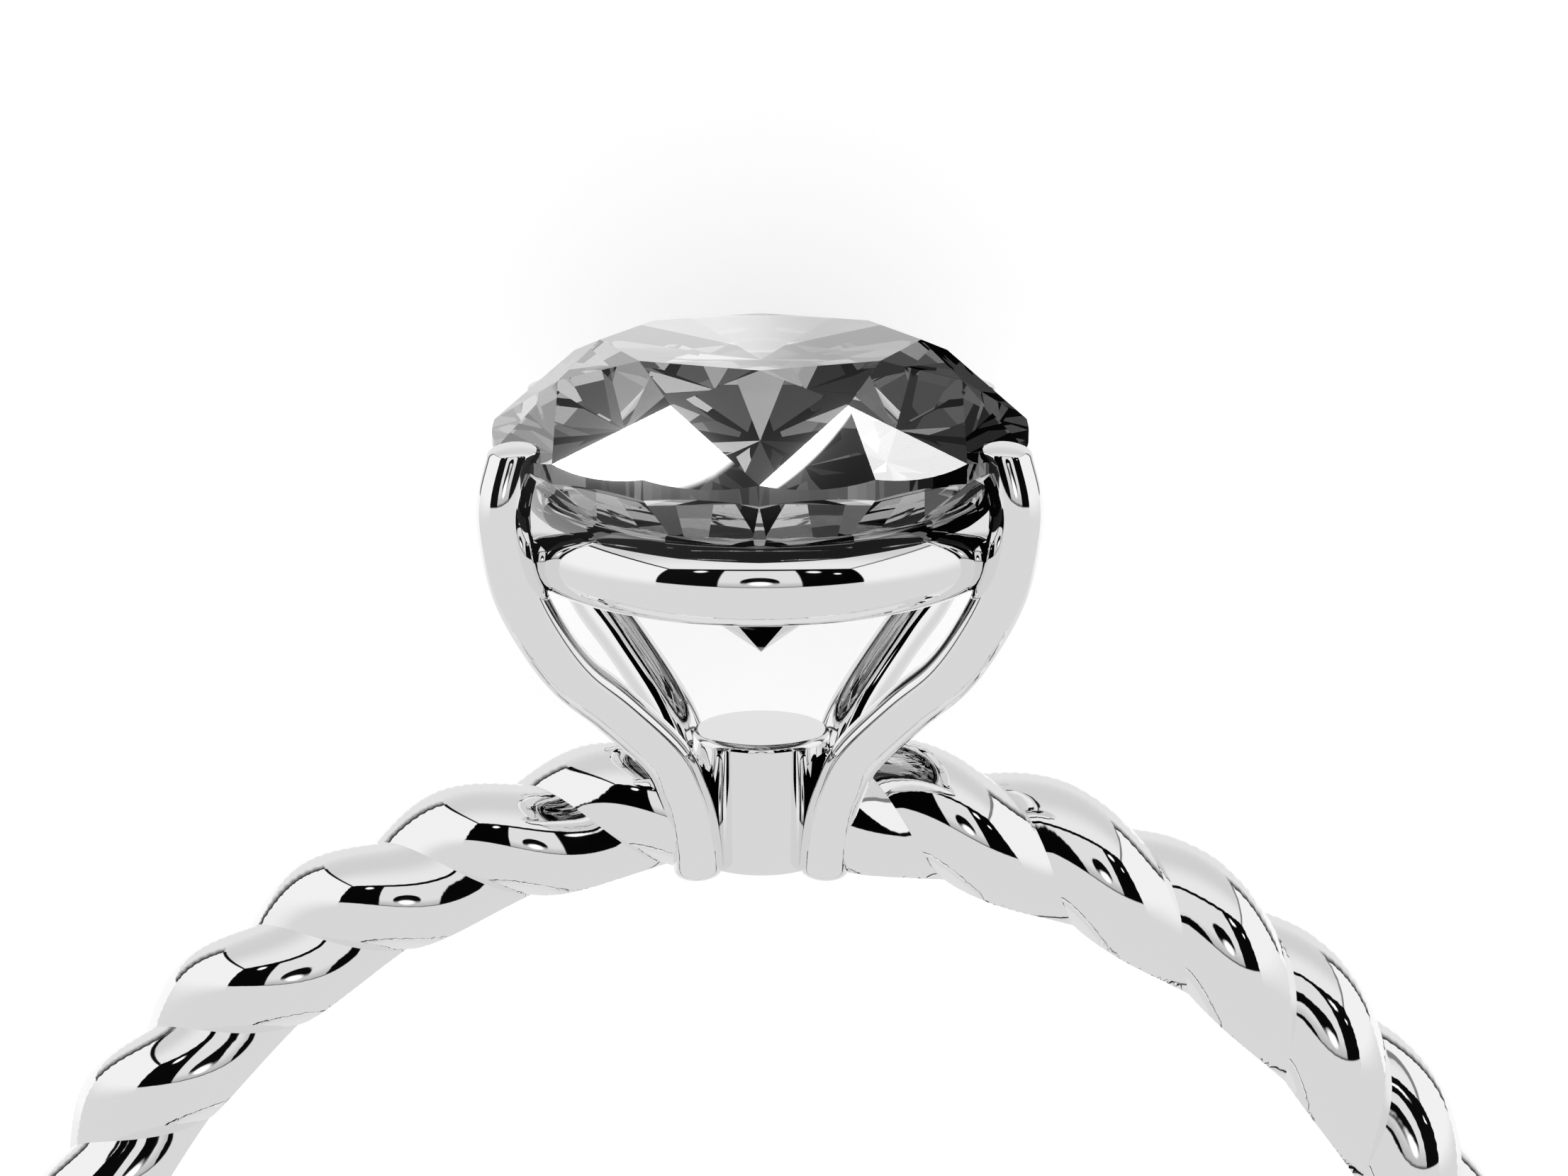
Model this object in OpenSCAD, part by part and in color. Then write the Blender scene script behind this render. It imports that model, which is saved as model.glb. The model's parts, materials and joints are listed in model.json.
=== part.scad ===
// Solitaire ring: a two-strand twisted shank, a high four-prong head and an oval brilliant.
// The ring lies on its side with its head towards +Y, as it rests by itself on a table.

/* [Finger hole] */
// Inner diameter of the ring, US size 6
bore_d = 16.5; // [14:0.1:22]

/* [Twisted shank] */
// Diameter of each of the two strands
strand_d = 1.36; // [1.1:0.02:1.8]
// Distance between the centres of the two strands
strand_spread = 0.44; // [0.3:0.02:0.7]
// Depth that the polished inside takes off the twist
inside_trim = 0.34; // [0.2:0.02:0.5]
// Number of strand crossings round the whole ring
crossings = 32; // [24:2:40]
// Angle from the head's middle to the first crossing on the outer edge
first_crossing = 5.6; // [0:0.1:11]

/* [Stone] */
// Width of the oval stone, across the finger
stone_w = 6; // [5:0.1:7]
// Length of the oval stone, along the finger
stone_l = 8; // [7:0.1:9.5]
// Width of the flat table as a share of the stone's width
table_share = 0.6; // [0.53:0.01:0.66]
// Height of the crown, from the girdle to the table
crown_h = 0.9; // [0.7:0.02:1.1]
// Thickness of the girdle at the facet corners
girdle_h = 0.21; // [0.16:0.01:0.3]
// Depth of the pavilion, from the girdle to the point
pavilion_h = 2.5; // [2.2:0.02:2.8]

/* [Head] */
// Height of the girdle's middle above the finger hole
stone_lift = 4.98; // [4.6:0.02:6]
// Diameter of the round prong wire
prong_d = 0.57; // [0.5:0.01:0.8]
// Angle of each prong from the finger's direction
prong_angle = 48.4; // [42:0.2:54]
// Depth of the notch that the girdle sits in
notch_depth = 0.16; // [0.1:0.01:0.24]
// Height of a prong's tip above the girdle's upper edge
tip_rise = 0.128; // [0.06:0.002:0.2]
// Depth that the prong feet reach into the finger hole
foot_drop = 0.12; // [0:0.01:0.2]
// Depth that a prong's foot is soldered into the drum
foot_weld = 0.08; // [0.04:0.01:0.2]
// Diameter of the gallery ring's wire
gallery_d = 0.88; // [0.7:0.02:1]
// Distance of the gallery ring's middle below the girdle's middle
gallery_drop = 1.01; // [0.95:0.01:1.2]
// Depth that the gallery ring is soldered into the prongs
gallery_weld = 0.05; // [0.03:0.01:0.15]
// Diameter of the drum below its rounded rim
drum_d = 1.6; // [1.5:0.02:1.8]
// Diameter of the drum at its base
drum_base_d = 1.52; // [1.4:0.02:1.8]
// Height of the drum's top above the shank's outer edge
drum_rise = 0.02; // [0.01:0.01:0.3]
// Depth that the drum's base reaches into the finger hole
drum_drop = 0.07; // [0:0.01:0.15]
// Radius of the drum's rounded rim
drum_round = 0.09; // [0.04:0.01:0.2]

/* [Fit] */
// Gap between the stone and the notches that hold it
stone_gap = 0.02; // [0.01:0.005:0.04]

/* [Hidden] */

white_metal = "gainsboro";
clear_stone = "lightcyan";

// Points round the twisted section, an even number, and sections for each crossing
SECTION_POINTS = 16;
SECTIONS_EACH = 6;
// Sides of the round wires, steps round the gallery ring and sides of the drum
WIRE_SIDES = 12;
GALLERY_STEPS = 36;
DRUM_SIDES = 36;
// Steps between two rows of a prong's table, and steps round the drum's rim
ROW_STEPS = 2;
RIM_STEPS = 3;

// Shares of the stone's radius at which the star facets and the lower halves end
STAR_REACH = 0.785;
LOWER_REACH = 0.24;
// Parts of the girdle between facet corners, and steps along each part
GIRDLE_PARTS = 16;
GIRDLE_STEPS = 4;

// Middle line of a prong, from foot to seat: [share of the way out, share of the way up]
PRONG_ROWS = [
    [0.000, 0.024],
    [0.010, 0.075],
    [0.040, 0.147],
    [0.094, 0.216],
    [0.200, 0.306],
    [0.478, 0.437],
    [0.699, 0.529],
    [0.855, 0.627],
    [0.982, 0.739],
    [1.038, 0.850],
    [1.042, 0.925],
    [0.993, 1.000]
];
// Rounded foot and domed tip of a prong, which start inside the wire:
// [share of the wire's radius, share of the end's height]
FOOT_ROWS = [[0.80, -0.80], [1.04, 0.10], [0.95, 0.55], [0.70, 0.88], [0.35, 1.00]];
TIP_ROWS = [[0.80, -0.80], [1.04, 0.10], [1.02, 0.50], [0.92, 0.71], [0.68, 0.88], [0.30, 1.00]];

// The shank and the head are drawn upright: X across the ring, Y along the finger and Z from
// the finger to the stone, with the origin in the middle of the finger hole
bore_r = bore_d / 2;
strand_r = strand_d / 2;
spread_r = strand_spread / 2;
twist_r = strand_r + spread_r;
shank_r = bore_r + twist_r - inside_trim;
girdle_z = bore_r + stone_lift;
gallery_z = girdle_z - gallery_drop;
drum_top_z = shank_r + twist_r + drum_rise;
drum_base_z = bore_r - drum_drop;

// Distance of the girdle from the stone's middle in the direction of a prong
girdle_reach = 1 / norm([sin(prong_angle) / (stone_w / 2), cos(prong_angle) / (stone_l / 2)]);

// A prong's foot stands at the drum, and its seat takes the notch at the girdle
foot_reach = (drum_base_d + prong_d) / 2 - foot_weld;
seat_reach = girdle_reach + prong_d / 2 - notch_depth;
foot_z = bore_r - foot_drop;
foot_h = PRONG_ROWS[0][1] * (girdle_z - foot_z);
tip_h = girdle_h / 2 + tip_rise;
prong_line = [
    for (i = [0 : len(PRONG_ROWS) - 2], k = [0 : ROW_STEPS - 1]) prong_place(i, k / ROW_STEPS),
    prong_place(len(PRONG_ROWS) - 1, 0)
];

// The gallery ring is an oval like the stone's, just wide enough to reach into the prongs
gallery_reach = prong_reach_at(gallery_z) - (prong_d + gallery_d) / 2 + gallery_weld;
gallery_share = gallery_reach / girdle_reach;
gallery_a = gallery_share * stone_w / 2;
gallery_b = gallery_share * stone_l / 2;

// The shank's ends are soldered in between the drum and the prong feet
shank_end_angle = asin((foot_reach * sin(prong_angle) - foot_weld / 2) / shank_r);

// Tilt and place of the ring at rest, on the shank and on the stone's or the gallery's end
rest_angle = max(
    rest_tilt(stone_l / 2, girdle_z - girdle_h / 2, 0),
    rest_tilt(gallery_b, gallery_z, gallery_d / 2)
);
table_z = girdle_z + girdle_h / 2 + crown_h;
head_end = table_z * cos(rest_angle) + table_share * stone_l / 2 * sin(rest_angle);
shank_end = shank_r * cos(rest_angle) + twist_r;
rest_y = (shank_end - head_end) / 2;
rest_z = shank_r * sin(rest_angle) + twist_r;

// Tilt at which the shank and an end of radius end_r both touch the table
function rest_tilt(half_l, height, end_r) =
    let (run = height + shank_r)
    acos((twist_r - end_r) / norm([half_l, run])) - atan2(run, half_l);

// Smooth curve through four values, at share t between the second and the third
function curve(a, b, c, d, t) =
    b + (c - a) * t / 2 + (2 * a - 5 * b + 4 * c - d) * t * t / 2
        + (3 * b - a - 3 * c + d) * t * t * t / 2;

function prong_row(i) = PRONG_ROWS[max(0, min(len(PRONG_ROWS) - 1, i))];

// Place on a prong's middle line: [distance from the head's middle, height]
function prong_place(i, t) =
    let (row = curve(prong_row(i - 1), prong_row(i), prong_row(i + 1), prong_row(i + 2), t))
    [
        foot_reach + row[0] * (seat_reach - foot_reach),
        foot_z + row[1] * (girdle_z - foot_z)
    ];

function prong_reach_at(z) = lookup(z, [for (p = prong_line) [p[1], p[0]]]);

// Direction of a prong's middle line at one of its places
function prong_heading(i) =
    let (a = prong_line[max(0, i - 1)], b = prong_line[min(len(prong_line) - 1, i + 1)])
    (b - a) / norm(b - a);

// Round section of a prong, square to its heading
function prong_ring(place, heading, r) = [
    for (k = [0 : WIRE_SIDES - 1])
        let (a = 360 * k / WIRE_SIDES)
        [
            place[0] + r * cos(a) * heading[1],
            r * sin(a),
            place[1] - r * cos(a) * heading[0]
        ]
];

// Rings of a prong's end, square to its heading inside the wire and level where it is rounded
function end_rings(rows, place, heading, length) = [
    for (row = rows)
        let (way = row[1] > 0.2 ? [0, sign(heading[1])] : heading)
        prong_ring(place + heading * row[1] * length, way, row[0] * prong_d / 2)
];

// Section of the two fused strands at an angle round the ring, with the inside polished flat
function twist_ring(angle) = [
    for (k = [0 : SECTION_POINTS - 1])
        let (
            a = 360 * k / SECTION_POINTS,
            r = spread_r * abs(cos(a)) + sqrt(strand_r ^ 2 - (spread_r * sin(a)) ^ 2),
            turn = a + 90 + (angle - first_crossing) * crossings / 2,
            out = max(bore_r, shank_r + r * cos(turn))
        )
        [out * sin(angle), -r * sin(turn), out * cos(angle)]
];

function gallery_ring(t) =
    let (n = [cos(t) / gallery_a, sin(t) / gallery_b], side = n / norm(n))
    [
        for (k = [0 : WIRE_SIDES - 1])
            let (a = 360 * k / WIRE_SIDES, r = gallery_d / 2)
            [
                gallery_a * cos(t) + r * cos(a) * side[0],
                gallery_b * sin(t) + r * cos(a) * side[1],
                gallery_z - r * sin(a)
            ]
    ];

// Height on a facet plane through three points, above or below the point p
function on_plane(a, b, c, p) =
    let (n = cross(b - a, c - a))
    a[2] - (n[0] * (p[0] - a[0]) + n[1] * (p[1] - a[1])) / n[2];

function round_point(angle, r, z) = [r * sin(angle), -r * cos(angle), z];

// One edge of the girdle on a round stone, which follows the facets next to it
function girdle_edge(tips, z) = [
    for (part = [0 : GIRDLE_PARTS - 1], k = [0 : GIRDLE_STEPS - 1])
        let (
            step = 360 / GIRDLE_PARTS,
            a = round_point(part * step, 1, z),
            b = round_point((part + 1) * step, 1, z),
            tip = tips[floor(part / 2)],
            p = round_point((part + k / GIRDLE_STEPS) * step, 1, z)
        )
        [p[0], p[1], on_plane(a, b, tip, p)]
];

// Skin between two rings of points, as triangles
function skin(from, to, n) = [
    for (k = [0 : n - 1], upper = [true, false])
        upper ? [from + k, to + k, from + (k + 1) % n]
            : [from + (k + 1) % n, to + k, to + (k + 1) % n]
];

// Solid along a row of rings that all have as many points
module sweep(rings, closed = false) {
    n = len(rings[0]);
    last = len(rings) - 1;
    sides = [for (i = [0 : last - 1]) each skin(i * n, (i + 1) * n, n)];
    ends = closed ? skin(last * n, 0, n)
        : [[for (k = [0 : n - 1]) k], [for (k = [n - 1 : -1 : 0]) last * n + k]];
    polyhedron([for (ring = rings) each ring], concat(sides, ends), convexity = 8);
}

// Two strands twisted round each other, open where the head stands
module shank() {
    count = crossings * SECTIONS_EACH;
    run = 360 - 2 * shank_end_angle;
    sweep([for (i = [0 : count]) twist_ring(shank_end_angle + run * i / count)]);
}

// Round wire that rises from the drum, swings out under the stone and closes over its edge
module prong() {
    last = len(prong_line) - 1;
    tip_heading = prong_heading(last);
    rotate([0, 0, prong_angle - 90]) {
        sweep([for (i = [0 : last]) prong_ring(prong_line[i], prong_heading(i), prong_d / 2)]);
        hull() sweep(end_rings(TIP_ROWS, prong_line[last], tip_heading, tip_h / tip_heading[1]));
        hull() sweep(end_rings(FOOT_ROWS, prong_line[0], -prong_heading(0), foot_h));
    }
}

module gallery() {
    sweep([for (i = [0 : GALLERY_STEPS - 1]) gallery_ring(360 * i / GALLERY_STEPS)], true);
}

// Short round post between the prong feet
module drum() {
    rim_r = drum_d / 2 - drum_round;
    rotate_extrude($fn = DRUM_SIDES)
        polygon([
            [0, drum_base_z],
            [drum_base_d / 2, drum_base_z],
            for (i = [0 : RIM_STEPS])
                let (a = 90 * i / RIM_STEPS)
                [rim_r + drum_round * cos(a), drum_top_z - drum_round * (1 - sin(a))],
            [0, drum_top_z]
        ]);
}

// Oval brilliant: 8 mains, 8 stars and 16 halves on the crown, 8 mains and 16 halves below
module brilliant(grow = 0) {
    edge = girdle_h / 2 + grow;
    main_step = 360 / 8;
    t = table_share;
    star_z = edge + crown_h * (1 - STAR_REACH * cos(main_step / 2)) / (1 - t);
    lower_z = -edge - pavilion_h * (1 - LOWER_REACH * cos(main_step / 2));
    corners = [for (i = [0 : 7]) round_point(i * main_step, t, edge + crown_h)];
    stars = [for (i = [0 : 7]) round_point((i + 0.5) * main_step, STAR_REACH, star_z)];
    lowers = [for (i = [0 : 7]) round_point((i + 0.5) * main_step, LOWER_REACH, lower_z)];
    round_points = concat(corners, stars, girdle_edge(stars, edge), girdle_edge(lowers, -edge),
        lowers, [[0, 0, -edge - pavilion_h]]);
    points = [
        for (p = round_points) [p[0] * (stone_w / 2 + grow), p[1] * (stone_l / 2 + grow), p[2]]
    ];

    // First point of each group, and the number of points along the girdle
    n = GIRDLE_PARTS * GIRDLE_STEPS;
    star = 8;
    upper = 16;
    under = upper + n;
    lower = under + n;
    culet = lower + 8;
    faces = [
        [for (i = [7 : -1 : 0]) i],
        for (i = [0 : 7])
            let (j = (i + 1) % 8, g = 2 * i * GIRDLE_STEPS, m = g + GIRDLE_STEPS)
            each [
                [i, j, star + i],
                [i, star + i, upper + g, star + (i + 7) % 8],
                [star + i, each [for (k = [m : -1 : g]) upper + k]],
                [star + i, each [for (k = [g + 2 * GIRDLE_STEPS : -1 : m]) upper + k % n]],
                [lower + i, each [for (k = [g : m]) under + k]],
                [lower + i, each [for (k = [m : g + 2 * GIRDLE_STEPS]) under + k % n]],
                [culet, lower + (i + 7) % 8, under + g, lower + i]
            ],
        each skin(under, upper, n)
    ];
    polyhedron(points, faces, convexity = 2);
}

// Takes an upright piece to its place in the ring at rest
module laid_down() {
    translate([0, rest_y, rest_z]) rotate([rest_angle - 90, 0, 0]) children();
}

module mounting() {
    color(white_metal) laid_down() difference() {
        union() {
            shank();
            for (x = [0, 1], y = [0, 1]) mirror([x, 0, 0]) mirror([0, y, 0]) prong();
            gallery();
            drum();
        }
        translate([0, 0, girdle_z]) brilliant(stone_gap);
    }
}

module stone() {
    color(clear_stone) laid_down() translate([0, 0, girdle_z]) brilliant();
}

mounting();
stone();
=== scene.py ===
import json
from math import asin, atan2, cos, hypot, pi, radians, sin, sqrt

import bmesh
import bpy
from mathutils import Matrix, Vector


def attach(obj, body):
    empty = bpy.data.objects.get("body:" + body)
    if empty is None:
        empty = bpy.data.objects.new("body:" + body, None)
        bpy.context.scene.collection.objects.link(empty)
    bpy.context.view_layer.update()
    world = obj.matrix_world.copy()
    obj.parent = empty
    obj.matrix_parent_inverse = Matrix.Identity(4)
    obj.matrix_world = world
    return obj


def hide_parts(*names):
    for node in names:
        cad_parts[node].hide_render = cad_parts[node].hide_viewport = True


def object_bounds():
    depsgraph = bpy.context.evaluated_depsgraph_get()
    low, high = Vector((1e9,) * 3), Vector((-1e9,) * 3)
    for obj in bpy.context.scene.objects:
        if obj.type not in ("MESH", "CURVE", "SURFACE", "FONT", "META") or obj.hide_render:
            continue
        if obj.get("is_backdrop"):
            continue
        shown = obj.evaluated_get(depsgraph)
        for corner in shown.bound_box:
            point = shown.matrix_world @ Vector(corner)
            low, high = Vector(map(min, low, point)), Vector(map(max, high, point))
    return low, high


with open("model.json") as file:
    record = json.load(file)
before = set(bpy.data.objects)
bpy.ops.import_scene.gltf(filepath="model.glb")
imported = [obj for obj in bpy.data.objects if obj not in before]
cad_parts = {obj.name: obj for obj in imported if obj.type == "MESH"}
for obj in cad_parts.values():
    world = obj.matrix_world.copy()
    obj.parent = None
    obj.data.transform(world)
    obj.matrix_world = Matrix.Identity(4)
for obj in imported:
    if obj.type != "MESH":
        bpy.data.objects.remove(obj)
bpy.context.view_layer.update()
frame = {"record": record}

# Solitaire ring on its side. Its pieces are modelled upright, in millimetres from the middle of
# the finger hole: X across the ring, Y along the finger, Z to the stone. The record's mount for
# the finger says where that middle and those axes lie in the ring at rest.
hole = next(m for m in frame["record"]["mounts"] if m["name"] == "finger_hole")
finger_way = Vector(hole["axis"]).normalized()
across = Vector((1, 0, 0))
head_way = finger_way.cross(across)
turn_down = Matrix((across, -finger_way, head_way)).transposed().to_4x4()
laid_down = Matrix.Translation(Vector(hole["pos_m"])) @ turn_down @ Matrix.Scale(0.001, 4)


# Camera: the photograph's view of the ring, level across it and a little from above. It looks
# past the shank's front at the stone, so with the ring on its side it looks down at the floor.
BORE_R = 8.25
GIRDLE_Z = BORE_R + 4.98
CAMERA_PLACE = Vector((0.117, -28.84, 4.85 + GIRDLE_Z))
CAMERA_PITCH = radians(-13.08)
CAMERA_YAW = radians(-0.29)
CAMERA_LENS = 59.4

camera = bpy.data.cameras.new("camera")
camera.lens = CAMERA_LENS
camera.sensor_width = 36
camera.clip_start = 0.001
camera_object = bpy.data.objects.new("camera", camera)
bpy.context.scene.collection.objects.link(camera_object)
look = Matrix.Rotation(CAMERA_YAW, 4, "Z") @ Matrix.Rotation(pi / 2 + CAMERA_PITCH, 4, "X")
camera_object.matrix_world = Matrix.Translation(laid_down @ CAMERA_PLACE) @ turn_down @ look
bpy.context.scene.camera = camera_object


# Light on the metal: a white tent on a grey ground, with a panel on each side, a roof, and a black
# cloth in front with an opening for the lens. Places on the cloth are given across (u) and up (v)
# as seen from the ring, and a pair of values is where a soft change starts and ends.
def linear(hex_colour):
    """An sRGB hex colour as the linear values that a shader takes."""
    parts = [int(hex_colour[i : i + 2], 16) / 255 for i in (1, 3, 5)]
    return [c / 12.92 if c <= 0.04045 else ((c + 0.055) / 1.055) ** 2.4 for c in parts] + [1]


def add_node(tree, kind, settings=None, **inputs):
    """A node with its settings and its inputs, each a value or the socket that feeds it."""
    node = tree.nodes.new(kind)
    for name, value in (settings or {}).items():
        setattr(node, name, value)
    for name, value in inputs.items():
        place = name.replace("_", " ")
        socket = node.inputs[int(place[1:]) if place[1:].isdigit() else place]
        if isinstance(value, bpy.types.NodeSocket):
            tree.links.new(value, socket)
        else:
            socket.default_value = value
    return node


TENT_W = 1.3
TENT_H = 1.15
PANEL_TOP = 0.88
PANEL_BACK = -0.52
PANEL_EDGE = 0.03
PANEL_FOOT = (-0.25, 0.15)
SHADE_BACK = -1.0
SEAM = 0.09
SEAM_SIDES = (-0.3, 0.3)
SEAM_LEFT = 0.0
SEAM_RIGHT = linear("#808080")[0]
GROUND = linear("#dddddd")[0]
GROUND_BACK = linear("#e4e4e4")[0]
GROUND_FADE = (0.0, -0.4)
SWEEP = 1.0
SWEEP_FADE = (-0.5, -0.25)
PANEL = linear("#f8f8f8")[0]
ROOF_FRONT = linear("#eeeeee")[0]
ROOF_MIDDLE = linear("#d6d6d6")[0]
ROOF_BACK = linear("#e8e8e8")[0]
ROOF_FRONT_FADE = (-0.1, 0.6)
ROOF_BACK_FADE = (-0.3, -1.5)
CLOTH_FOOT = (0.0, 0.1)
OPENING_W = 0.39
OPENING_TOP = 1.0
OPENING_EDGE = 0.01
OPENING_FOOT = (0.0, 0.05)
OPENING_LOW = linear("#bcbcbc")[0]
OPENING_HIGH = linear("#e4e4e4")[0]
OPENING_FADE = (0.02, 0.3)
LENS = (0.0, 0.26, 0.18, 0.24)
LENS_SOFT = 0.12
LENS_FOOT = (0.12, 0.26)
LAMP_WHITE = 1.3
LAMP_SOFT = 0.8
LAMPS = (
    (0.0, 0.19, 0.1, 0.085), (-0.68, 0.9, 0.085, 0.08),
    (0.6, 0.86, 0.085, 0.08), (0.9, 0.68, 0.055, 0.05),
)
NOT_ZERO = 0.01

world = bpy.data.worlds.new("studio")
bpy.context.scene.world = world
world.use_nodes = True
sky = world.node_tree
sky.nodes.clear()
way = add_node(sky, "ShaderNodeTexCoord").outputs["Generated"]


def along(axis):
    """How far a direction of the room points along an axis of the upright ring."""
    node = add_node(sky, "ShaderNodeVectorMath", {"operation": "DOT_PRODUCT"}, i0=way)
    node.inputs[1].default_value = axis
    return node.outputs["Value"]


def maths(operation, a, b=0.0):
    return add_node(sky, "ShaderNodeMath", {"operation": operation}, i0=a, i1=b).outputs[0]


def ramp(value, start, end, low=0.0, high=1.0):
    """A soft change from one level to another while a value goes from start to end."""
    node = add_node(sky, "ShaderNodeMapRange", {"interpolation_type": "SMOOTHSTEP"}, Value=value)
    for place, level in zip(("From Min", "From Max", "To Min", "To Max"), (start, end, low, high)):
        node.inputs[place].default_value = level
    return node.outputs["Result"]


def under(a, b, soft=0.012):
    """1 where one value lies under another and 0 above it, over a short soft step."""
    return ramp(maths("SUBTRACT", b, a), -soft, soft)


def where_all(first, *others):
    for mask in others:
        first = maths("MULTIPLY", first, mask)
    return first


def painted(room, mask, brightness):
    """The room's brightness so far, with another brightness where the mask is 1."""
    node = add_node(sky, "ShaderNodeMix", {"data_type": "FLOAT"}, Factor=mask, A=room, B=brightness)
    return node.outputs["Result"]


def oval(u_mid, v_mid, half_u, half_v, soft):
    """An oval patch on the black cloth: its middle, its half sizes and its softness."""
    a = maths("POWER", maths("DIVIDE", maths("SUBTRACT", u, u_mid), half_u), 2)
    b = maths("POWER", maths("DIVIDE", maths("SUBTRACT", v, v_mid), half_v), 2)
    return where_all(under(maths("ADD", a, b), 1.0, soft), before)


x = along(across)
front = along(finger_way)
up = along(head_way)
side = maths("ABSOLUTE", x)
ahead = maths("MAXIMUM", front, NOT_ZERO / 10)
before = under(0.0, front)
u = maths("DIVIDE", x, ahead)
v = maths("DIVIDE", up, ahead)
cloth_side = maths("MULTIPLY", front, TENT_W)
cloth_top = maths("MULTIPLY", front, TENT_H)
panel_top = maths("MULTIPLY", side, PANEL_TOP)

# Ground, with a white sweep that meets it behind the ring
sweep = ramp(up, *SWEEP_FADE, GROUND_BACK, SWEEP)
room = painted(GROUND, ramp(front, *GROUND_FADE), sweep)
# Back, dark where the panels end and lighter in the middle
wide = maths("MAXIMUM", side, NOT_ZERO)
depth = maths("DIVIDE", front, wide)
room = painted(room, under(0.0, up), ramp(depth, PANEL_BACK, SHADE_BACK, 0.0, ROOF_BACK))
# Roof, a little lighter towards the front and the back
high = maths("MAXIMUM", up, NOT_ZERO)
forward = maths("DIVIDE", front, high)
roof = where_all(under(cloth_top, up), under(panel_top, up), under(0.0, up))
room = painted(room, roof, ramp(forward, *ROOF_BACK_FADE, ROOF_MIDDLE, ROOF_BACK))
room = painted(room, where_all(roof, ramp(forward, *ROOF_FRONT_FADE)), ROOF_FRONT)
# Side panels, lit from behind, fading to the ground's grey at their foot, with a dark seam round
rise = maths("DIVIDE", up, wide)
beside = where_all(under(cloth_side, side), ramp(depth, PANEL_BACK - PANEL_EDGE, PANEL_BACK))
panel = where_all(beside, under(up, panel_top))
room = painted(room, panel, ramp(rise, *PANEL_FOOT, GROUND, PANEL))
off_seam = maths("ABSOLUTE", maths("SUBTRACT", rise, PANEL_TOP))
seam = where_all(beside, ramp(off_seam, SEAM / 2, SEAM / 4))
room = painted(room, seam, ramp(x, *SEAM_SIDES, SEAM_LEFT, SEAM_RIGHT))
# Black cloth with its opening, and the lamps that shine through it
cloth = where_all(under(side, cloth_side), under(up, cloth_top), ramp(v, *CLOTH_FOOT), before)
room = painted(room, cloth, 0.0)
opening = where_all(
    under(maths("ABSOLUTE", u), OPENING_W, OPENING_EDGE), before,
    under(v, OPENING_TOP, OPENING_EDGE), ramp(v, *OPENING_FOOT),
)
room = painted(room, opening, ramp(v, *OPENING_FADE, OPENING_LOW, OPENING_HIGH))
room = painted(room, where_all(oval(*LENS, LENS_SOFT), ramp(v, *LENS_FOOT)), 0.0)
for lamp in LAMPS:
    room = painted(room, oval(*lamp, LAMP_SOFT), LAMP_WHITE)


# Light on the stone: it is lit apart from the metal, as in the photograph. What comes through it is
# a dimmer room of uneven panels. Its facets mirror a low bright wall behind the ring, and white
# cards, each given as (turn from the front, height, radius, brightness), with angles in degrees.
GEM_LEFT = 0.12
GEM_RIGHT = 0.45
GEM_SIDES = (-0.25, 0.25)
GEM_CELLS = 2.4
GEM_CELL_TONES = (0.25, 0.75)
GEM_UNEVEN = (0.25, 1.9)
GEM_FRONT = 0.16
GEM_FRONT_FADE = (0.35, 0.55)
GEM_BELOW = 0.45
MIRROR_DIM = 0.06
MIRROR_HALVES = (-0.02, 0.02)
WALL_LEFT = 1.2
WALL_RIGHT = 0.8
WALL_TOP = 0.19
WALL_TOP_SOFT = 0.02
WALL_W = 0.12
WALL_W_SOFT = 0.01
SIDE_LEFT = 0.9
SIDE_RIGHT = 0.0
SIDE_TOP = 0.45
SIDE_TOP_SOFT = 0.08
MIRROR_BELOW = 1.3
BELOW_FADE = (-0.3, -0.5)
CARD_EDGE = 0.0001
CARDS = (
    (-128.0, 45.5, 7.0, 9.0), (-129.0, 71.0, 2.6, 8.0),
    (129.0, 45.5, 7.0, 4.2), (147.2, 74.3, 6.0, 9.0),
)

paths = add_node(sky, "ShaderNodeLightPath").outputs
behind = under(front, 0.0)
below = where_all(behind, ramp(up, *BELOW_FADE))
cells = add_node(sky, "ShaderNodeTexVoronoi", Vector=way, Scale=GEM_CELLS).outputs["Color"]
uneven = ramp(cells, *GEM_CELL_TONES, *GEM_UNEVEN)
through = maths("MULTIPLY", ramp(x, *GEM_SIDES, GEM_LEFT, GEM_RIGHT), uneven)
through = painted(through, ramp(front, *GEM_FRONT_FADE), GEM_FRONT)
through = painted(through, below, GEM_BELOW)
room = painted(room, paths["Is Transmission Ray"], through)

sides = where_all(behind, under(up, SIDE_TOP, SIDE_TOP_SOFT))
mirrored = painted(MIRROR_DIM, sides, ramp(x, *MIRROR_HALVES, SIDE_LEFT, SIDE_RIGHT))
wall = where_all(behind, under(up, WALL_TOP, WALL_TOP_SOFT), under(side, WALL_W, WALL_W_SOFT))
mirrored = painted(mirrored, wall, ramp(x, *MIRROR_HALVES, WALL_LEFT, WALL_RIGHT))
mirrored = painted(mirrored, below, MIRROR_BELOW)
for turn, height, radius, brightness in CARDS:
    axis = Matrix.Rotation(radians(turn), 3, head_way) @ finger_way
    axis = axis * cos(radians(height)) + head_way * sin(radians(height))
    edge = cos(radians(radius))
    mirrored = painted(mirrored, ramp(along(axis), edge - CARD_EDGE, edge + CARD_EDGE), brightness)
off_facet = maths("MULTIPLY", paths["Is Singular Ray"], paths["Is Reflection Ray"])
room = painted(room, off_facet, mirrored)

# The lens itself sees plain white round the ring
room = painted(room, paths["Is Camera Ray"], 1.0)
light = add_node(sky, "ShaderNodeBackground", Color=(1, 1, 1, 1), Strength=room)
add_node(sky, "ShaderNodeOutputWorld", Surface=light.outputs[0])
bpy.context.scene.view_settings.view_transform = "Standard"
bpy.context.scene.cycles.glossy_bounces = 2


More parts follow.
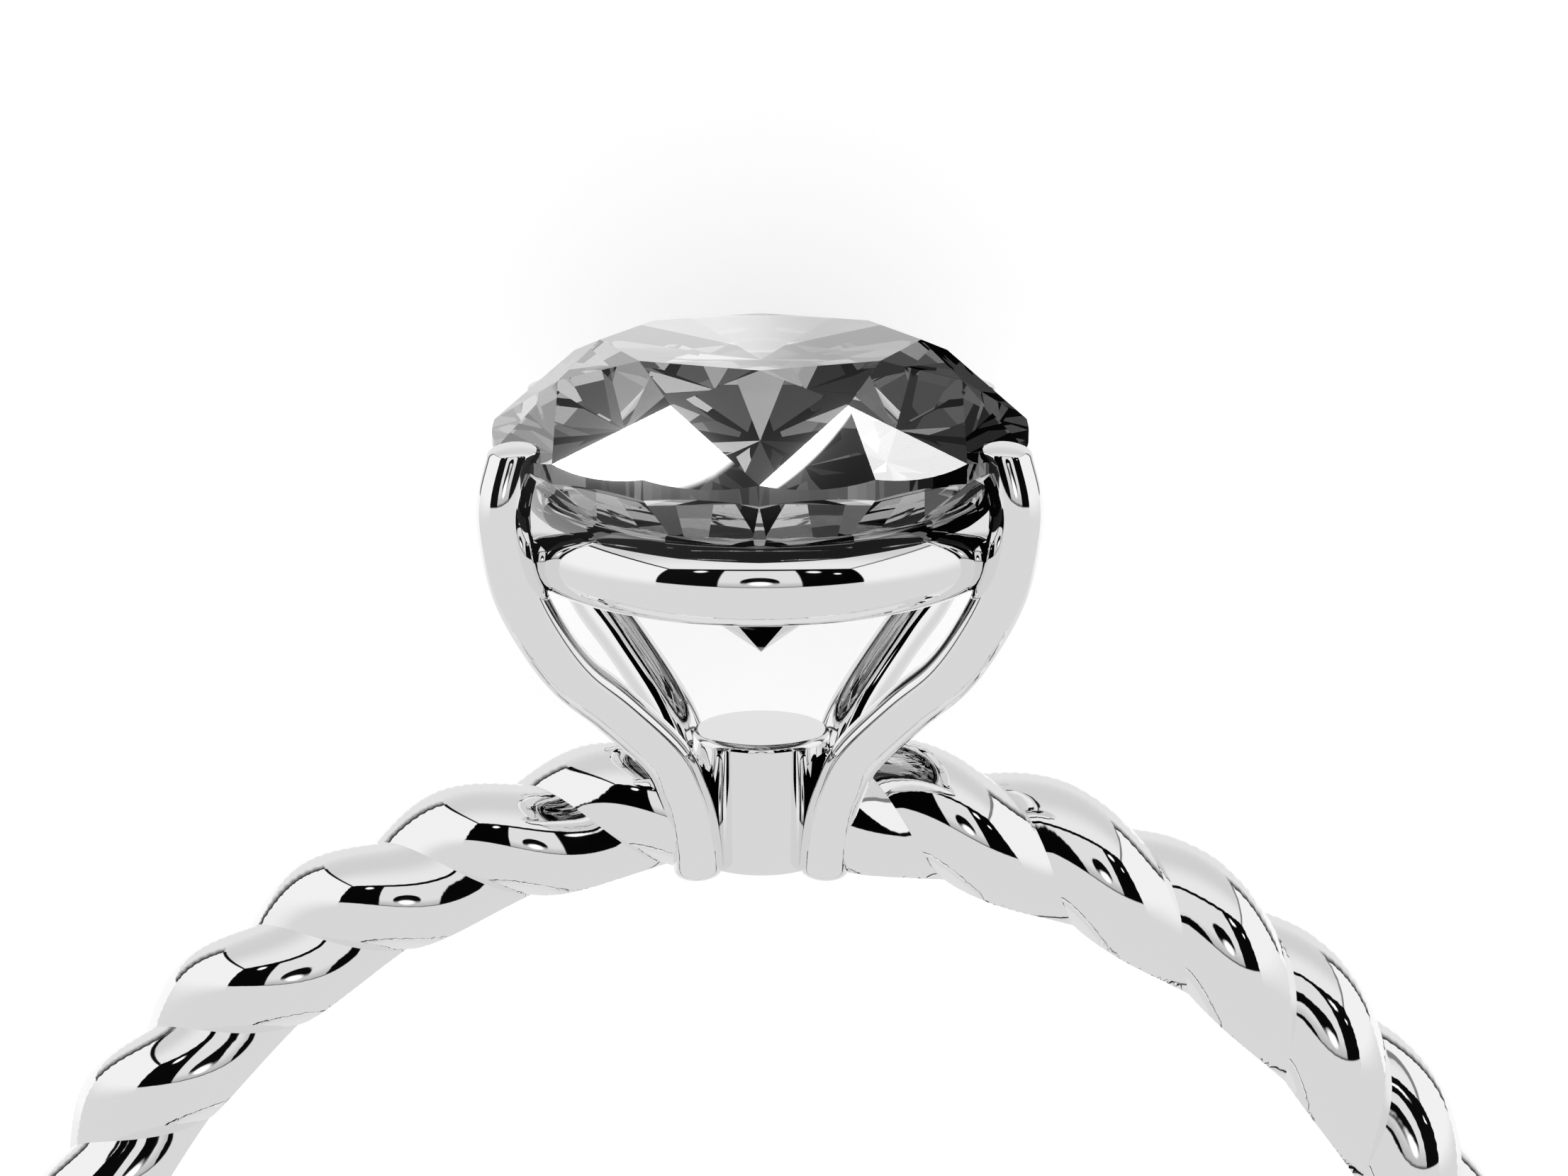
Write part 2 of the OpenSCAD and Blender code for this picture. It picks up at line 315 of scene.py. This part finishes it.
# Glow: the lens spreads the light of the brightest facets a little over what lies next to them.
# It starts from a level just over plain white.
GLOW_FROM = 1.03
GLOW_STRENGTH = 0.7
GLOW_SIZE = 0.3

bpy.context.scene.use_nodes = True
picture = bpy.context.scene.node_tree
picture.nodes.clear()
rendered = add_node(picture, "CompositorNodeRLayers").outputs["Image"]
spread = add_node(picture, "CompositorNodeGlare", {"glare_type": "BLOOM"}, Image=rendered,
                  Threshold=GLOW_FROM, Strength=GLOW_STRENGTH, Size=GLOW_SIZE)
add_node(picture, "CompositorNodeComposite", Image=spread.outputs["Image"])


# Floor: a plain white table top under the ring. The lens sees it lit evenly white, and the metal
# sees it as the light grey sweep behind the ring.
FLOOR_R = 0.6
FLOOR_GLOW = 0.22
FLOOR_WHITE = 0.36
FLOOR_SIDES = 64


def piece_from(bm, name, material, smooth=True):
    """A finished piece: its mesh in an object at the origin, with its material."""
    mesh = bpy.data.meshes.new(name)
    bm.to_mesh(mesh)
    bm.free()
    for face in mesh.polygons:
        face.use_smooth = smooth
    mesh.materials.append(material)
    piece = bpy.data.objects.new(name, mesh)
    bpy.context.scene.collection.objects.link(piece)
    return piece


def new_material(name):
    material = bpy.data.materials.new(name)
    material.use_nodes = True
    material.node_tree.nodes.clear()
    return material, material.node_tree


# White without a sheen, lit from within so that the lens sees next to no shadow on it
floor_white, tree = new_material("white_table_top")
soft_white = add_node(tree, "ShaderNodeBsdfDiffuse", Color=linear("#e6e6e6"))
seen = add_node(tree, "ShaderNodeLightPath").outputs["Is Camera Ray"]
strength = add_node(tree, "ShaderNodeMath", {"operation": "MULTIPLY_ADD"}, i0=seen, i1=FLOOR_WHITE,
                    i2=FLOOR_GLOW)
glow = add_node(tree, "ShaderNodeEmission", Color=(1, 1, 1, 1), Strength=strength.outputs[0])
mixed = add_node(tree, "ShaderNodeAddShader", i0=soft_white.outputs[0], i1=glow.outputs[0])
add_node(tree, "ShaderNodeOutputMaterial", Surface=mixed.outputs[0])
bm = bmesh.new()
bmesh.ops.create_circle(bm, cap_ends=True, segments=FLOOR_SIDES, radius=FLOOR_R)
floor = piece_from(bm, "floor", floor_white)
floor.visible_glossy = False
floor.visible_transmission = False
floor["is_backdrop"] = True


# Shank: two round white-gold wires twisted round each other, soldered into one rope, bent to a
# ring and polished smooth on the finger side. It is drawn out step by step, turning as it goes. The
# polish goes 0.008 deeper than in the CAD solid, so that rounder strands stay inside its box.
HAZE_PER_MM = 1.4
POLISH_BEST = 0.015
POLISH_WORST = 0.035
STRAND_R = 0.68
SPREAD_R = 0.22
INSIDE_TRIM = 0.348
CROSSINGS = 32
FIRST_CROSSING = radians(5.6)
SECTION_POINTS = 40
STEPS_EACH = 16
HOLE_SIDES = 360
CREASE = radians(26)
TWIST_R = STRAND_R + SPREAD_R
SHANK_R = BORE_R + TWIST_R - INSIDE_TRIM
DRUM_BASE_R = 0.76
PRONG_R = 0.285
FOOT_WELD = 0.08
PRONG_ANGLE = radians(48.4)
FOOT_REACH = DRUM_BASE_R + PRONG_R - FOOT_WELD
SHANK_END = asin((FOOT_REACH * sin(PRONG_ANGLE) - FOOT_WELD / 2) / SHANK_R)


def carved(bm, cutter):
    """The mesh with the cutter's mesh taken out of it."""
    blank = piece_from(bm, "blank", floor_white)
    tool = piece_from(cutter, "tool", floor_white)
    cut = blank.modifiers.new("cut", "BOOLEAN")
    cut.operation = "DIFFERENCE"
    cut.solver = "EXACT"
    cut.object = tool
    result = bmesh.new()
    result.from_mesh(blank.evaluated_get(bpy.context.evaluated_depsgraph_get()).to_mesh())
    bpy.data.objects.remove(blank)
    bpy.data.objects.remove(tool)
    return result


def crease(bm, angle):
    """Keeps edges sharper than an angle crisp when the mesh is shaded smooth."""
    for edge in bm.edges:
        if len(edge.link_faces) == 2 and edge.calc_face_angle(0) > angle:
            edge.smooth = False


def placed(bm, name, material):
    """A metal piece in its place in the ring at rest, standing for the CAD node."""
    crease(bm, CREASE)
    bmesh.ops.transform(bm, matrix=laid_down, verts=bm.verts)
    piece = piece_from(bm, name, material)
    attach(piece, "root")
    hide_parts("mounting")
    return piece


# Mirror bright, with a faint haze that comes and goes and takes the hardness off reflections
white_gold, tree = new_material("polished_white_gold")
where = add_node(tree, "ShaderNodeTexCoord").outputs["Object"]
haze = add_node(tree, "ShaderNodeTexNoise", Vector=where, Scale=1000 * HAZE_PER_MM, Detail=3.0)
polish = add_node(tree, "ShaderNodeMapRange", Value=haze.outputs["Fac"])
polish.inputs["To Min"].default_value = POLISH_BEST
polish.inputs["To Max"].default_value = POLISH_WORST
metal = add_node(tree, "ShaderNodeBsdfPrincipled", Base_Color=linear("#f7f7f7"), Metallic=1.0,
                 Roughness=polish.outputs["Result"])
add_node(tree, "ShaderNodeOutputMaterial", Surface=metal.outputs[0])

bm = bmesh.new()
section = bmesh.ops.create_circle(bm, segments=SECTION_POINTS, radius=1)["verts"]
for vert in section:
    angle = atan2(vert.co.y, vert.co.x)
    lobe = SPREAD_R * abs(cos(angle)) + sqrt(STRAND_R**2 - (SPREAD_R * sin(angle)) ** 2)
    vert.co = lobe * Vector((cos(angle), sin(angle), 0))
twist = CROSSINGS / 2
start_turn = pi / 2 + (SHANK_END - FIRST_CROSSING) * twist
upright_section = Matrix(((0, 0, 1), (0, -1, 0), (1, 0, 0))).to_4x4()
start = (
    Matrix.Rotation(SHANK_END, 4, "Y")
    @ Matrix.Translation((0, 0, SHANK_R))
    @ upright_section
    @ Matrix.Rotation(start_turn, 4, "Z")
)
bmesh.ops.transform(bm, matrix=start, verts=section)
steps = CROSSINGS * STEPS_EACH
step = (2 * pi - 2 * SHANK_END) / steps
edges = bm.edges[:]
for i in range(steps):
    drawn = bmesh.ops.extrude_edge_only(bm, edges=edges)["geom"]
    verts = [g for g in drawn if isinstance(g, bmesh.types.BMVert)]
    edges = [g for g in drawn if isinstance(g, bmesh.types.BMEdge)]
    bmesh.ops.rotate(bm, verts=verts, matrix=Matrix.Rotation(step, 3, "Y"))
    at = SHANK_END + (i + 1) * step
    middle = SHANK_R * Vector((sin(at), 0, cos(at)))
    wire_way = Vector((cos(at), 0, -sin(at)))
    bmesh.ops.rotate(bm, verts=verts, cent=middle, matrix=Matrix.Rotation(step * twist, 3, wire_way))
bmesh.ops.holes_fill(bm, edges=bm.edges, sides=0)
bmesh.ops.recalc_face_normals(bm, faces=bm.faces)
mandrel = bmesh.new()
bmesh.ops.create_cone(mandrel, cap_ends=True, segments=HOLE_SIDES, radius1=BORE_R,
                      radius2=BORE_R, depth=6 * TWIST_R, matrix=Matrix.Rotation(pi / 2, 4, "X"))
placed(carved(bm, mandrel), "shank", white_gold)


# Stone: a colourless oval brilliant. A round blank is cut facet by facet, as a cutter grinds it,
# and then drawn out to the oval. Its girdle is left where the facets meet the blank's side.
STONE_W = 6.0
STONE_L = 8.0
TABLE_SHARE = 0.6
CROWN_H = 0.9
GIRDLE_H = 0.21
PAVILION_H = 2.5
STAR_REACH = 0.785
LOWER_REACH = 0.24
BLANK_SIDES = 192
NO_CUT = 1e-6
DIAMOND_IOR = 2.417
EIGHTH = 2 * pi / 8


def cut_flat(bm, place, normal):
    """Takes off what lies beyond a plane, on the normal's side, and closes the cut."""
    everything = bm.verts[:] + bm.edges[:] + bm.faces[:]
    cut = bmesh.ops.bisect_plane(bm, geom=everything, dist=NO_CUT, plane_co=place, plane_no=normal,
                                 clear_outer=True)["geom_cut"]
    rim = [g for g in cut if isinstance(g, bmesh.types.BMEdge)]
    bmesh.ops.holes_fill(bm, edges=rim, sides=0)


def grind(bm, angle, low, high):
    """Grinds a flat through two places, given as (reach, height), on a side of the blank."""
    out = Vector((sin(angle), -cos(angle), 0))
    run, rise = high[0] - low[0], high[1] - low[1]
    normal = out * rise - Vector((0, 0, run))
    if normal.dot(out) < 0:
        normal.negate()
    cut_flat(bm, low[0] * out + Vector((0, 0, low[1])), normal)


def brilliant(grow=0.0):
    """The stone, or the room that its seat needs, which is larger all round by the gap."""
    edge = GIRDLE_H / 2 + grow
    table_z = edge + CROWN_H
    star_z = edge + CROWN_H * (1 - STAR_REACH * cos(EIGHTH / 2)) / (1 - TABLE_SHARE)
    lower_z = -edge - PAVILION_H * (1 - LOWER_REACH * cos(EIGHTH / 2))
    lean = cos(EIGHTH / 4)
    bm = bmesh.new()
    bmesh.ops.create_cone(bm, cap_ends=True, segments=BLANK_SIDES, radius1=1, radius2=1,
                          depth=4 * PAVILION_H)
    cut_flat(bm, Vector((0, 0, table_z)), Vector((0, 0, 1)))
    for i in range(8):
        grind(bm, i * EIGHTH, (1, edge), (TABLE_SHARE, table_z))
        grind(bm, i * EIGHTH, (1, -edge), (0, -edge - PAVILION_H))
    for i in range(8):
        middle = (i + 0.5) * EIGHTH
        grind(bm, middle, (STAR_REACH, star_z), (TABLE_SHARE * cos(EIGHTH / 2), table_z))
        for turn in (-EIGHTH / 4, EIGHTH / 4):
            grind(bm, middle + turn, (lean, edge), (STAR_REACH * lean, star_z))
            grind(bm, middle + turn, (lean, -edge), (LOWER_REACH * lean, lower_z))
    to_oval = Matrix.Diagonal((STONE_W / 2 + grow, STONE_L / 2 + grow, 1, 1))
    bmesh.ops.transform(bm, matrix=Matrix.Translation((0, 0, GIRDLE_Z)) @ to_oval, verts=bm.verts)
    bmesh.ops.recalc_face_normals(bm, faces=bm.faces)
    return bm


# Clear and hard, with bright mirror flashes and dark facets from how strongly it bends light
diamond, tree = new_material("colourless_diamond")
fire = add_node(tree, "ShaderNodeBsdfPrincipled", Base_Color=linear("#ffffff"), Roughness=0.0,
                IOR=DIAMOND_IOR, Transmission_Weight=1.0)
add_node(tree, "ShaderNodeOutputMaterial", Surface=fire.outputs[0])
bm = brilliant()
bmesh.ops.transform(bm, matrix=laid_down, verts=bm.verts)
gem = piece_from(bm, "oval_brilliant", diamond, smooth=False)
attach(gem, "root")
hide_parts("stone")


# Prongs: four round wires bent to an S, soldered to the drum and the gallery, notched for the
# girdle and rounded over the stone's edge. A row of their middle line gives the share of the way
# out and the share of the way up, from the foot to the seat.
NOTCH = 0.16
STONE_GAP = 0.02
FOOT_DROP = 0.12
TIP_RISE = 0.128
PRONG_ROWS = (
    (0.000, 0.024), (0.010, 0.075), (0.040, 0.147), (0.094, 0.216), (0.200, 0.306), (0.478, 0.437),
    (0.699, 0.529), (0.855, 0.627), (0.982, 0.739), (1.038, 0.850), (1.042, 0.925), (0.993, 1.000),
)
ROW_STEPS = 6
WIRE_SIDES = 32
DOME_STEPS = 8
FOOT_FLAT = 0.3
FOOT_ROUND = 0.6
TIP_DOME = 0.12
TIP_FLAT = 0.5
GIRDLE_REACH = 1 / hypot(sin(PRONG_ANGLE) / (STONE_W / 2), cos(PRONG_ANGLE) / (STONE_L / 2))
SEAT_REACH = GIRDLE_REACH + PRONG_R - NOTCH
FOOT_Z = BORE_R - FOOT_DROP


def curve(a, b, c, d, t):
    """A smooth curve through four points, at share t between the second and the third."""
    bend = (2 * a - 5 * b + 4 * c - d) * t**2 / 2
    return b + (c - a) * t / 2 + bend + (3 * b - a - 3 * c + d) * t**3 / 2


def prong_line():
    """Middle line of a prong, each place as (reach, height)."""
    rows = [Vector(row) for row in PRONG_ROWS]
    rows = [rows[0], *rows, rows[-1]]
    line = []
    for i in range(len(rows) - 3):
        line += [curve(*rows[i : i + 4], k / ROW_STEPS) for k in range(ROW_STEPS)]
    line.append(rows[-1])
    return [
        Vector((FOOT_REACH + p.x * (SEAT_REACH - FOOT_REACH), FOOT_Z + p.y * (GIRDLE_Z - FOOT_Z)))
        for p in line
    ]


def drawn_wire(rings, closed=False):
    """A wire's skin through round sections, each given as (matrix, radius)."""
    bm = bmesh.new()
    loops = []
    for matrix, radius in rings:
        made = bmesh.ops.create_circle(bm, segments=WIRE_SIDES, radius=radius, matrix=matrix)
        loops.append(list({edge for vert in made["verts"] for edge in vert.link_edges}))
    pairs = list(zip(loops, loops[1:]))
    if closed:
        pairs.append((loops[-1], loops[0]))
    for one, other in pairs:
        bmesh.ops.bridge_loops(bm, edges=one + other)
    if not closed:
        bmesh.ops.holes_fill(bm, edges=bm.edges, sides=0)
    bmesh.ops.recalc_face_normals(bm, faces=bm.faces)
    return bm


def facing(place, heading):
    """Matrix of a section at a place, square to a heading."""
    return Matrix.Translation(place) @ heading.to_track_quat("Z", "Y").to_matrix().to_4x4()


def dome(place, heading, length):
    """Sections of a rounded wire end, flatter in the middle and round at its rim."""
    rings = []
    for i in range(1, DOME_STEPS + 1):
        a = i / (DOME_STEPS + FOOT_FLAT) * pi / 2
        radius = PRONG_R * cos(a) ** FOOT_ROUND
        rings.append((facing(place + heading * length * sin(a), heading), radius))
    return rings


line = [Vector((p.x, 0, p.y)) for p in prong_line()]
last = len(line) - 1
ways = [(line[min(i + 1, last)] - line[max(i - 1, 0)]).normalized() for i in range(last + 1)]
body = [(facing(p, h), PRONG_R) for p, h in zip(line, ways)]
foot = dome(line[0], -ways[0], line[0].z - FOOT_Z)
# The tip's sections are level, not square to the wire, so that it ends in a flat disc
tip_way = ways[-1] / ways[-1].z
level = Matrix.Diagonal((1 / ways[-1].z, 1, 1, 1))
tip = []
for i in range(DOME_STEPS):
    a = i / (DOME_STEPS - TIP_FLAT) * pi / 2
    rise = GIRDLE_H / 2 + TIP_RISE - TIP_DOME * (1 - sin(a))
    tip.append((Matrix.Translation(line[-1] + tip_way * rise) @ level, PRONG_R * cos(a)))
for number, (right, near) in enumerate([(1, 1), (-1, 1), (-1, -1), (1, -1)], start=1):
    bm = drawn_wire(foot[::-1] + body + tip)
    turn = Matrix.Diagonal((right, near, 1, 1)) @ Matrix.Rotation(PRONG_ANGLE - pi / 2, 4, "Z")
    bmesh.ops.transform(bm, matrix=turn, verts=bm.verts)
    bmesh.ops.recalc_face_normals(bm, faces=bm.faces)
    placed(carved(bm, brilliant(STONE_GAP)), f"prong_{number}", white_gold)


# Gallery ring: an oval of thick round wire under the stone, which sits in its bevelled inner edge.
# It is soldered to the inner side of the prongs.
GALLERY_R = 0.44
GALLERY_DROP = 1.01
GALLERY_WELD = 0.05
GALLERY_STEPS = 160
gallery_z = GIRDLE_Z - GALLERY_DROP
above_it = next(i for i, p in enumerate(line) if p.z > gallery_z)
low, high = line[above_it - 1], line[above_it]
prong_reach = low.x + (high.x - low.x) * (gallery_z - low.z) / (high.z - low.z)
share = (prong_reach - PRONG_R - GALLERY_R + GALLERY_WELD) / GIRDLE_REACH
half_w, half_l = share * STONE_W / 2, share * STONE_L / 2
rings = []
for i in range(GALLERY_STEPS):
    t = 2 * pi * i / GALLERY_STEPS
    place = Vector((half_w * cos(t), half_l * sin(t), gallery_z))
    heading = Vector((-half_w * sin(t), half_l * cos(t), 0)).normalized()
    rings.append((facing(place, heading), GALLERY_R))
placed(carved(drawn_wire(rings, closed=True), brilliant(STONE_GAP)), "gallery", white_gold)


# Drum: the short turned post between the prong feet, with a rounded rim. It reaches a little into
# the finger hole, as the feet do.
DRUM_R = 0.8
DRUM_ROUND = 0.09
DRUM_RISE = 0.02
DRUM_DROP = 0.07
DRUM_SIDES = 96
RIM_STEPS = 8
MERGE = 1e-5
drum_top = SHANK_R + TWIST_R + DRUM_RISE
profile = [(0, BORE_R - DRUM_DROP), (DRUM_BASE_R, BORE_R - DRUM_DROP)]
for i in range(RIM_STEPS + 1):
    a = pi / 2 * i / RIM_STEPS
    profile.append((DRUM_R - DRUM_ROUND * (1 - cos(a)), drum_top - DRUM_ROUND * (1 - sin(a))))
profile.append((0, drum_top))
bm = bmesh.new()
verts = [bm.verts.new((r, 0, z)) for r, z in profile]
edges = [bm.edges.new(pair) for pair in zip(verts, verts[1:])]
bmesh.ops.spin(bm, geom=verts + edges, axis=(0, 0, 1), steps=DRUM_SIDES, angle=2 * pi, use_merge=True)
bmesh.ops.remove_doubles(bm, verts=bm.verts, dist=MERGE)
bmesh.ops.recalc_face_normals(bm, faces=bm.faces)
placed(bm, "drum", white_gold)

low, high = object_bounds()
